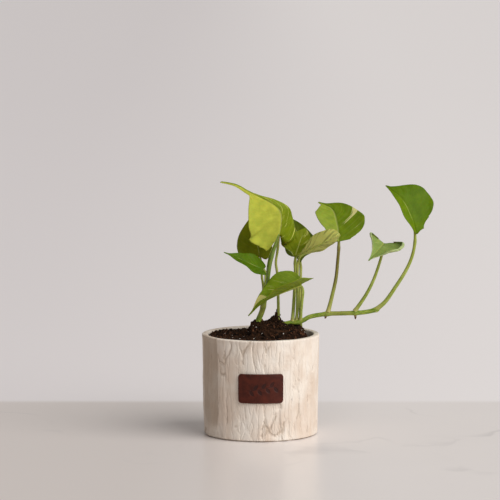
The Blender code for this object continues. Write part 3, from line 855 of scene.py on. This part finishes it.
sweep, given, end = geometry_tree("stem_sweep", (
    ("Sides", "Int", 18), ("Spacing", "Float", 0.8 * MM), ("Channel", "Float", 0.16),
    ("Ripple", "Float", 0.12 * MM), ("Finish", "Material", None)))
spaced = node(sweep, "GeometryNodeResampleCurve", {"Curve": given["Geometry"], "Length": given["Spacing"]},
              mode="LENGTH").outputs["Curve"]
along = node(sweep, "GeometryNodeSplineParameter").outputs["Factor"]
marked = node(sweep, "GeometryNodeStoreNamedAttribute", {"Geometry": spaced, "Name": "along", "Value": along},
              data_type="FLOAT", domain="POINT").outputs["Geometry"]
ring = node(sweep, "GeometryNodeCurvePrimitiveCircle", {"Resolution": given["Sides"], "Radius": 1.0})
ring = node(sweep, "GeometryNodeStoreNamedAttribute",
            {"Geometry": ring.outputs["Curve"], "Name": "around", "Value": along},
            data_type="FLOAT", domain="POINT").outputs["Geometry"]
position = node(sweep, "GeometryNodeInputPosition").outputs["Position"]
high = node(sweep, "ShaderNodeSeparateXYZ", {"Vector": position}).outputs["Y"]
in_channel = maths(sweep, "MULTIPLY", ramp(sweep, high, 0.72, 1.0), given["Channel"])
ring = shifted(sweep, ring, scaled(sweep, position, maths(sweep, "MULTIPLY", in_channel, -1.0)))
radius = node(sweep, "GeometryNodeInputRadius").outputs["Radius"]
skin = node(sweep, "GeometryNodeCurveToMesh",
            {"Curve": marked, "Profile Curve": ring, "Scale": radius, "Fill Caps": True}).outputs["Mesh"]
normal = node(sweep, "GeometryNodeInputNormal").outputs["Normal"]
uneven = maths(sweep, "SUBTRACT", cloud(sweep, position, 260.0, 2.0), 0.5)
skin = shifted(sweep, skin, scaled(sweep, normal, maths(sweep, "MULTIPLY", uneven, given["Ripple"])))
smoothed = node(sweep, "GeometryNodeSetShadeSmooth", {"Geometry": skin})
finish_tree(sweep, smoothed.outputs["Geometry"], given["Finish"], end)

# Fine streaks that run the length of a stem, from the place along it and the place round it.
streaking, given, end = shader_group("stem_streaks", (
    ("Along", "Float", 0.0), ("Around", "Float", 0.0), ("Stretch", "Float", 3.0), ("Scale", "Float", 3.0)),
    (("Mask", "Float"), ("Blotch", "Float")))
turn = maths(streaking, "MULTIPLY", given["Around"], math.tau)
reach = maths(streaking, "MULTIPLY", given["Along"], given["Stretch"])
round_place = node(streaking, "ShaderNodeCombineXYZ",
                   {"X": maths(streaking, "COSINE", turn), "Y": maths(streaking, "SINE", turn),
                    "Z": reach}).outputs["Vector"]
fine = cloud(streaking, round_place, given["Scale"], 3.0, 0.6)
streaking.links.new(ramp(streaking, fine, 0.35, 0.65), end.inputs["Mask"])
wide_place = scaled(streaking, round_place, 0.6)
blotch = ramp(streaking, cloud(streaking, wide_place, 2.5, 4.0, 0.6), 0.42, 0.62)
streaking.links.new(blotch, end.inputs["Blotch"])


def stem_finish(name, base, pale, tinge, tinge_at, foot, stretch=3.0):
    """A green stem with pale streaks, a tinge over part of its length and the colour of its foot."""
    made, tree, shader = new_material(name, Roughness=0.36)
    shader.inputs["Specular IOR Level"].default_value = 0.15
    shader.inputs["Subsurface Weight"].default_value = 0.12
    shader.inputs["Subsurface Scale"].default_value = 1.5 * MM
    along = attribute(tree, "along")
    around = attribute(tree, "around")
    place = own_place(tree)
    streaks = placed_group(tree, streaking, Along=along, Around=around, Stretch=stretch)
    colour = mix(tree, streaks["Mask"], base, pale)
    soft_from = ramp(tree, along, tinge_at[0] - 0.08, tinge_at[0] + 0.08)
    soft_to = ramp(tree, along, tinge_at[1] - 0.08, tinge_at[1] + 0.08, 1.0, 0.0)
    patchy = maths(tree, "MULTIPLY_ADD", streaks["Blotch"], 0.6, 0.4)
    tinged = product(tree, soft_from, soft_to, patchy)
    colour = mix(tree, tinged, colour, tinge)
    at_foot = ramp(tree, along, 0.01, 0.07, 0.9, 0.0)
    tree.links.new(mix(tree, at_foot, colour, foot), shader.inputs["Base Color"])
    pits = cloud(tree, place, 1800.0, 2.0)
    set_bump(tree, shader, maths(tree, "MULTIPLY_ADD", streaks["Mask"], 1.6, pits), 0.06 * MM, 0.6)
    return made


EARTHY = (0.10, 0.055, 0.02)
green_stalk = stem_finish("green_stalk", (0.15, 0.23, 0.012), (0.47, 0.50, 0.13), (0.34, 0.36, 0.07),
                          (0.45, 0.9), (0.42, 0.40, 0.13))
brown_stalk = stem_finish("tanned_stalk", (0.22, 0.26, 0.04), (0.36, 0.36, 0.09), (0.13, 0.075, 0.025),
                          (0.25, 0.66), (0.42, 0.38, 0.13))
soil_stalk = stem_finish("rooted_stalk", (0.18, 0.24, 0.02), (0.48, 0.50, 0.14), (0.42, 0.42, 0.11),
                         (0.3, 0.8), EARTHY)
vine_skin = stem_finish("vine_skin", (0.11, 0.19, 0.01), (0.34, 0.41, 0.07), (0.27, 0.26, 0.06),
                        (0.55, 0.75), EARTHY, 7.0)
root_skin = stem_finish("root_skin", (0.14, 0.08, 0.035), (0.28, 0.19, 0.09), (0.05, 0.03, 0.02),
                        (0.5, 1.0), (0.2, 0.17, 0.06))


def stem(name, path, radii, finish, slot, *nodes, **values):
    """A swept stem: points in metres and a radius in millimetres for each of them."""
    curve = bpy.data.curves.new(name + "_line", "CURVE")
    curve.dimensions = "3D"
    line = curve.splines.new("POLY")
    line.points.add(len(path) - 1)
    for point, place, wide in zip(line.points, path, radii):
        point.co = (*place, 1)
        point.radius = wide * MM
    source = place_object(name + "_line", curve)
    use_tree(source, sweep, Finish=finish, **values)
    piece = plain_mesh(name, source)
    give(piece, slot, *nodes)


def swelling(place, joint, more, width):
    """How much thicker a stem is near a joint."""
    return more * math.exp(-((place - joint) ** 2) / (2 * width * width))


path = smooth_path([at(p) for p in ((-3.4, -6, -9), *STEM_PATH)], 70)
radii = []
for point in path:
    up = (point.z - POT_TOP) / MM
    wide = 2.55 + swelling(up, 10, 0.25, 1.5) + swelling(up, 23.5, 0.35, 1.3) + swelling(up, 37.5, 0.5, 2)
    radii.append(wide * (1 - 0.5 * step_up(up, 38.6, 0.25)))
stem("standing_stem", path, radii, vine_skin, "vine", "main_stem")

path = smooth_path([at(p) for p in ((13, -2, -5), *RUNNER_PATH, (99.6, -2, 20.9))], 130)
radii = []
for point in path:
    over = point.x / MM
    wide = 2.05 + swelling(over, 31, 0.4, 3) + sum(swelling(over, x, 0.5, 1.5) for x in (56.5, 80.5, 98))
    radii.append(wide)
stem("trailing_vine", path, radii, vine_skin, "vine", "runner")

STALK_FINISH = {"h": brown_stalk, "a": soil_stalk, "g": soil_stalk}
for key, (points, (thick, thin)) in STALKS.items():
    leaf = LEAVES[key]
    notch, ahead, _, up = leaf.frame(0)
    joint = notch + ahead * 0.8 - up * (LEAF_THICKNESS / 2 + 0.1 + thin)
    first, second = Vector(points[0]), Vector(points[1])
    root = first - (second - first).normalized() * 2
    under = []
    for t in (0.08, 0.16, 0.28, 0.42, 0.56, 0.70):
        place, _, _, up = leaf.frame(t)
        under.append(place - up * (0.1 + thin * (0.75 - t)))
    path = smooth_path([at(p) for p in (root, *points, joint, *under)], 120)
    stalk_share = 1 - 0.7 * leaf.length / (0.7 * leaf.length + sum(
        (Vector(b) - Vector(a)).length for a, b in zip(points, points[1:])))
    radii = []
    for i in range(120):
        s = i / 119
        if s < stalk_share:
            wide = thick + (thin - thick) * s / stalk_share
            wide *= 1 + 0.35 * math.exp(-s * 28) + swelling(s, stalk_share - 0.02, 0.12, 0.02)
        else:
            wide = thin * (1 - (s - stalk_share) / (1 - stalk_share)) ** 0.9 * 0.9 + 0.12
        radii.append(wide)
    stem("petiole_" + key, path, radii, STALK_FINISH.get(key, green_stalk), "stalk", "stalk_" + key)

ROOT_NUBS = (
    ((55.2, -2.5, 15.2), (55.0, -3.6, 13.6), (54.4, -4.2, 13.0)),
    ((80.2, -2.5, 16.0), (80.5, -3.4, 14.0), (80.3, -3.8, 13.0), (80.8, -4.0, 12.4)),
)
for number, points in enumerate(ROOT_NUBS):
    path = smooth_path([at(p) for p in points], 16)
    radii = [1.15 * (1 - (i / 15) ** 2 * 0.65) for i in range(16)]
    stem(f"root_nub_{number + 1}", path, radii, root_skin, "vine", "runner", Spacing=0.3 * MM)

# ------------------------------------------------------------------------------------------------
# The newest leaf, still rolled up: a thin sheet wound one and three quarter times, with its free
# edge turning slowly round it.

spear_finish, tree, shader = new_material("rolled_leaf_finish", Roughness=0.34)
shader.inputs["Subsurface Weight"].default_value = 0.1
shader.inputs["Subsurface Scale"].default_value = 1.5 * MM
unwound = node(tree, "ShaderNodeUVMap", uv_map="blade").outputs["UV"]
lines = node(tree, "ShaderNodeVectorMath", {0: unwound, 1: (5, 34, 0)}, operation="MULTIPLY")
ribs = cloud(tree, lines.outputs["Vector"], 1.0, 3.0, 0.6)
tone = mix(tree, ramp(tree, ribs, 0.35, 0.65), (0.10, 0.17, 0.012), (0.20, 0.27, 0.035))
near_edge = ramp(tree, node(tree, "ShaderNodeSeparateXYZ", {"Vector": unwound}).outputs["Y"], 0.9, 0.98)
tree.links.new(mix(tree, near_edge, tone, (0.36, 0.42, 0.10)), shader.inputs["Base Color"])
set_bump(tree, shader, ribs, 0.12 * MM, 0.7)

axis = smooth_path([at(p) for p in SPEAR_PATH], 61)
rows, wraps = 60, 64
shell = bmesh.new()
layer = shell.loops.layers.uv.new("blade")
grid = []
for i, place in enumerate(axis):
    t = i / rows
    ahead = (axis[min(rows, i + 1)] - axis[max(0, i - 1)]).normalized()
    side = ahead.cross(Vector((0, 1, 0))).normalized()
    front = side.cross(ahead)
    wide = level(((0, 1.3), (0.12, 1.55), (0.35, 1.95), (0.6, 2.2), (0.85, 1.25), (1, 0.35)), t)
    line = []
    for j in range(wraps + 1):
        s = j / wraps
        turn = math.radians(300 - 80 * t) - s * math.radians(630)
        away = wide * (0.62 + 0.38 * s) * MM
        line.append(shell.verts.new(place + (side * math.cos(turn) + front * math.sin(turn)) * away))
    grid.append(line)
for i in range(rows):
    for j in range(wraps):
        face = shell.faces.new((grid[i][j], grid[i][j + 1], grid[i + 1][j + 1], grid[i + 1][j]))
        shares = ((i, j), (i, j + 1), (i + 1, j + 1), (i + 1, j))
        for loop, (row, wrap) in zip(face.loops, shares):
            loop[layer].uv = (row / rows, wrap / wraps)
sheet = place_object("rolled_sheet", finished_mesh(shell, "rolled_sheet", spear_finish))
thick = sheet.modifiers.new("thick", "SOLIDIFY")
thick.thickness = 0.22 * MM
thick.offset = 0
spear = plain_mesh("rolled_new_leaf", sheet)
spear.data.shade_smooth()
give(spear, "dark_leaf", "new_leaf_spear")

# ------------------------------------------------------------------------------------------------
# The ten leaves: glossy above and paler and duller below, quilted a little between the side
# veins, which sweep forward from the midrib. Some are lime, the rest green with pale streaks.

quilting, given, end = geometry_tree("blade_relief", (
    ("Thickness", "Float", 0.5 * MM), ("Quilting", "Float", 0.05 * MM), ("Veins", "Float", 11.0),
    ("Groove", "Float", 0.35 * MM), ("Upper", "Material", None), ("Under", "Material", None)))
spot = node(quilting, "GeometryNodeInputNamedAttribute", {"Name": "blade"}, data_type="FLOAT_VECTOR")
split = node(quilting, "ShaderNodeSeparateXYZ", {"Vector": spot.outputs["Attribute"]}).outputs
across = maths(quilting, "ABSOLUTE", maths(quilting, "MULTIPLY_ADD", split["Y"], 2.0, -1.0))
phase = maths(quilting, "MULTIPLY_ADD", across, -0.3, split["X"])
beat = maths(quilting, "COSINE", product(quilting, phase, given["Veins"], math.tau))
calm = maths(quilting, "MULTIPLY", ramp(quilting, across, 0.03, 0.25),
             ramp(quilting, across, 0.75, 1.0, 1.0, 0.0))
quilt = product(quilting, beat, calm, given["Quilting"])
groove = maths(quilting, "MULTIPLY", ramp(quilting, across, 0.0, 0.09, -1.0, 0.0), given["Groove"])
position = node(quilting, "GeometryNodeInputPosition").outputs["Position"]
dents = maths(quilting, "MULTIPLY_ADD", cloud(quilting, position, 90.0, 2.0), 0.9 * MM, -0.45 * MM)
height = maths(quilting, "ADD", maths(quilting, "ADD", quilt, groove), dents)
normal = node(quilting, "GeometryNodeInputNormal").outputs["Normal"]
surface = shifted(quilting, given["Geometry"], scaled(quilting, normal, height))
to_tip = maths(quilting, "MULTIPLY", maths(quilting, "SUBTRACT", 1.0, split["X"]), 1.5)
to_notch = maths(quilting, "MULTIPLY", split["X"], 1.5)
to_edge = maths(quilting, "MINIMUM", maths(quilting, "SUBTRACT", 1.0, across),
                maths(quilting, "MINIMUM", to_tip, to_notch))
steep = maths(quilting, "MULTIPLY", maths(quilting, "MAXIMUM", to_edge, 0.0), 14.0)
fullness = maths(quilting, "POWER", maths(quilting, "MINIMUM", steep, 1.0), 0.5)
half = product(quilting, fullness, given["Thickness"], 0.5)
skins = []
for sign, label in ((1.0, "Upper"), (-1.0, "Under")):
    away = maths(quilting, "MULTIPLY", half, sign)
    skin = shifted(quilting, surface, scaled(quilting, normal, away))
    if sign < 0:
        skin = node(quilting, "GeometryNodeFlipFaces", {"Mesh": skin}).outputs["Mesh"]
    coat = node(quilting, "GeometryNodeSetMaterial", {"Geometry": skin, "Material": given[label]})
    skins.append(coat.outputs["Geometry"])
both = node(quilting, "GeometryNodeJoinGeometry")
for skin in skins:
    quilting.links.new(skin, both.inputs["Geometry"])
whole = node(quilting, "GeometryNodeMergeByDistance",
             {"Geometry": both.outputs["Geometry"], "Distance": 0.002 * MM}).outputs["Geometry"]
smooth = node(quilting, "GeometryNodeSetShadeSmooth", {"Geometry": whole}).outputs["Geometry"]
real = node(quilting, "GeometryNodeRealizeInstances", {"Geometry": smooth}).outputs["Geometry"]
quilting.links.new(real, end.inputs["Geometry"])

# Side veins, midrib and which half a place is on, from the blade's own coordinates.
veins, given, end = shader_group("leaf_veins", (("Blade", "Vector", None), ("Count", "Float", 11.0)),
                                 (("Vein", "Float"), ("Rib", "Float"), ("Right Half", "Float"),
                                  ("Flow", "Vector")))
split = node(veins, "ShaderNodeSeparateXYZ", {"Vector": given["Blade"]}).outputs
signed = maths(veins, "MULTIPLY_ADD", split["Y"], 2.0, -1.0)
across = maths(veins, "ABSOLUTE", signed)
phase = maths(veins, "MULTIPLY", maths(veins, "MULTIPLY_ADD", across, -0.3, split["X"]), given["Count"])
off = maths(veins, "ABSOLUTE", maths(veins, "SUBTRACT", maths(veins, "FRACT", phase), 0.5))
thin = ramp(veins, off, 0.42, 0.5)
veins.links.new(maths(veins, "MULTIPLY", thin, ramp(veins, across, 0.7, 1.0, 1.0, 0.0)), end.inputs["Vein"])
veins.links.new(ramp(veins, across, 0.015, 0.06, 1.0, 0.0), end.inputs["Rib"])
veins.links.new(ramp(veins, signed, -0.03, 0.03), end.inputs["Right Half"])
flow = node(veins, "ShaderNodeCombineXYZ", {"X": phase, "Y": across, "Z": maths(veins, "SIGN", signed)})
veins.links.new(flow.outputs["Vector"], end.inputs["Flow"])

# Pale streaks of variegation, drawn out along the side veins, more or less of them on each half.
markings, given, end = shader_group("leaf_markings", (
    ("Flow", "Vector", None), ("Right Half", "Float", 0.0), ("Left Amount", "Float", 0.2),
    ("Right Amount", "Float", 0.2), ("Seed", "Float", 0.0), ("Streak At", "Float", 0.0),
    ("Streak Width", "Float", 0.0), ("Streak Half", "Float", 1.0)), (("Mask", "Float"), ("Fine", "Float")))
shift = node(markings, "ShaderNodeCombineXYZ", {"X": given["Seed"]}).outputs["Vector"]
drawn_out = vector_maths(markings, "MULTIPLY", given["Flow"], (1.1, 0.9, 3.0))
place = vector_maths(markings, "ADD", drawn_out, shift)
broad = cloud(markings, place, 1.3, 3.0, 0.55)
narrow = cloud(markings, vector_maths(markings, "MULTIPLY", place, (3.2, 0.5, 1.0)), 1.6, 3.0, 0.6)
left_share = maths(markings, "SUBTRACT", 1.0, given["Right Half"])
amount = maths(markings, "ADD", maths(markings, "MULTIPLY", left_share, given["Left Amount"]),
               maths(markings, "MULTIPLY", given["Right Half"], given["Right Amount"]))
together = maths(markings, "MULTIPLY_ADD", narrow, 0.5, maths(markings, "MULTIPLY", broad, 0.5))
edge = maths(markings, "MULTIPLY_ADD", amount, -0.4, 0.68)
scattered = ramp(markings, together, edge, maths(markings, "ADD", edge, 0.05))

# One broad streak that follows a side vein from the margin inwards and narrows as it goes.
flow = node(markings, "ShaderNodeSeparateXYZ", {"Vector": given["Flow"]}).outputs
frayed = maths(markings, "MULTIPLY_ADD", maths(markings, "SUBTRACT", narrow, 0.5), 1.1, flow["X"])
beside = maths(markings, "ABSOLUTE", maths(markings, "SUBTRACT", frayed, given["Streak At"]))
widening = maths(markings, "MULTIPLY", given["Streak Width"], ramp(markings, flow["Y"], 0.05, 0.95))
inside = maths(markings, "LESS_THAN", beside, widening)
same_half = maths(markings, "LESS_THAN", maths(
    markings, "ABSOLUTE", maths(markings, "SUBTRACT", given["Right Half"], given["Streak Half"])), 0.5)
streak = maths(markings, "MULTIPLY", inside, same_half)
markings.links.new(maths(markings, "MAXIMUM", scattered, streak), end.inputs["Mask"])
markings.links.new(ramp(markings, narrow, 0.3, 0.7), end.inputs["Fine"])


def leaf_finish(name, left, right, pale, amounts, seed, gloss, count, vein_tint=0.07, fine=0.05,
                streak=(0.0, 0.0, 1.0)):
    """One side of a leaf: the colour of each half, streaks of the pale one, veins and midrib."""
    made, tree, shader = new_material(name, Roughness=gloss)
    shader.inputs["Specular IOR Level"].default_value = 0.05
    shader.inputs["Subsurface Weight"].default_value = 0.08
    shader.inputs["Subsurface Scale"].default_value = 1.0 * MM
    blade = node(tree, "ShaderNodeUVMap", uv_map="blade").outputs["UV"]
    place = own_place(tree)
    lines = placed_group(tree, veins, Blade=blade, Count=count)
    marks = placed_group(tree, markings, Flow=lines["Flow"], Right_Half=lines["Right Half"],
                         Left_Amount=amounts[0], Right_Amount=amounts[1], Seed=seed,
                         Streak_At=streak[0], Streak_Width=streak[1], Streak_Half=streak[2])
    halves = mix(tree, lines["Right Half"], left, right)
    shade = placed_group(tree, mottle, Vector=place, Light=(1.12, 1.10, 1.1), Dark=(0.80, 0.84, 0.8),
                         Scale=150.0, Contrast=0.25)
    body = mix(tree, 1.0, halves, shade["Color"], "MULTIPLY")
    streaked = mix(tree, maths(tree, "MULTIPLY", marks["Fine"], fine), body, pale)
    marked = mix(tree, marks["Mask"], streaked, pale)
    veined = mix(tree, maths(tree, "MULTIPLY", lines["Vein"], vein_tint), marked, pale)
    ribbed = mix(tree, maths(tree, "MULTIPLY", lines["Rib"], 0.22), veined, pale)
    tree.links.new(ribbed, shader.inputs["Base Color"])
    cells = cloud(tree, place, 900.0, 2.0)
    texture = maths(tree, "MULTIPLY_ADD", marks["Fine"], 0.8, cells)
    raised = maths(tree, "MULTIPLY_ADD", lines["Vein"], -0.5, texture)
    set_bump(tree, shader, raised, 0.10 * MM, 0.5)
    return made


# Each leaf: colours of the left and right halves above, the pale colour, how much of it on each
# half, the colour below, and how many side veins.
LEAF_LOOKS = {
    "a": ((0.46, 0.49, 0.06), (0.17, 0.23, 0.006), (0.58, 0.57, 0.13), (0.15, 0.32), (0.42, 0.45, 0.12), 12),
    # Leaf b's upper colours are its own green darkened with painted shade, as it hangs in shade behind leaf
    # c.
    "b": ((0.15, 0.175, 0.003), (0.15, 0.18, 0.003), (0.34, 0.36, 0.10), (0.05, 0.1), (0.24, 0.28, 0.09), 9),
    "c": ((0.062, 0.12, 0.002), (0.07, 0.13, 0.002), (0.20, 0.28, 0.07), (0.0, 0.08), (0.20, 0.25, 0.10), 9),
    "d": ((0.13, 0.19, 0.004), (0.13, 0.20, 0.003), (0.50, 0.47, 0.15), (0.1, 0.22), (0.14, 0.185, 0.01), 12),
    "e": ((0.15, 0.19, 0.003), (0.18, 0.225, 0.006), (0.44, 0.46, 0.10), (0.1, 0.3), (0.24, 0.28, 0.09), 7),
    "f": ((0.20, 0.27, 0.02), (0.20, 0.27, 0.02), (0.45, 0.43, 0.22), (0.45, 0.45), (0.18, 0.185, 0.045), 9),
    "g": ((0.09, 0.13, 0.006), (0.10, 0.14, 0.008), (0.30, 0.32, 0.12), (0.05, 0.2), (0.20, 0.24, 0.09), 9),
    "h": ((0.22, 0.29, 0.025), (0.12, 0.19, 0.003), (0.56, 0.54, 0.22), (0.05, 0.1), (0.26, 0.31, 0.10), 8),
    "i": ((0.20, 0.28, 0.06), (0.22, 0.30, 0.07), (0.36, 0.42, 0.16), (0.2, 0.2), (0.27, 0.32, 0.14), 7),
    "j": ((0.11, 0.18, 0.003), (0.09, 0.16, 0.001), (0.20, 0.27, 0.02), (0.0, 0.0), (0.22, 0.28, 0.09), 10),
}
SEEDS = dict(zip("abcdefghij", (2.0, 5.1, 9.4, 13.7, 4.4, 21.3, 8.8, 30.2, 17.5, 40.6)))
# One broad pale streak: at which side vein, how wide, and on which half (1 is the right one).
STREAKS = {"h": (2.2, 0.34, 1.0), "d": (6.4, 1.5, 1.0), "e": (3.6, 0.4, 1.0)}
LEAF_ROWS, LEAF_COLUMNS = 84, 60

for key, leaf in LEAVES.items():
    left, right, pale, amounts, below, count = LEAF_LOOKS[key]
    upper = leaf_finish(f"leaf_{key}_upper", left, right, pale, amounts, SEEDS[key], 0.32, count,
                        streak=STREAKS.get(key, (0.0, 0.0, 1.0)))
    under = leaf_finish(f"leaf_{key}_under", below, below, tuple(min(0.8, c * 2.3) for c in below),
                        (amounts[0] + 0.1, amounts[1] + 0.1), SEEDS[key], 0.55, count, 0.25, 0.5)
    shell = bmesh.new()
    bmesh.ops.create_grid(shell, x_segments=LEAF_ROWS, y_segments=LEAF_COLUMNS, size=1)
    layer = shell.loops.layers.uv.new("blade")
    for face in shell.faces:
        for loop in face.loops:
            loop[layer].uv = ((loop.vert.co.x + 1) / 2, (1 - loop.vert.co.y) / 2)
    for vertex in shell.verts:
        vertex.co = at(leaf.point((vertex.co.x + 1) / 2, -vertex.co.y, wave=1.0))
    sheet = place_object("blade_sheet", finished_mesh(shell, "blade_sheet"))
    use_tree(sheet, quilting, Upper=upper, Under=under, Veins=float(count))
    blade = plain_mesh("blade_" + key, sheet)
    give(blade, "lime_leaf" if key in "afh" else "dark_leaf", "leaf_" + key)
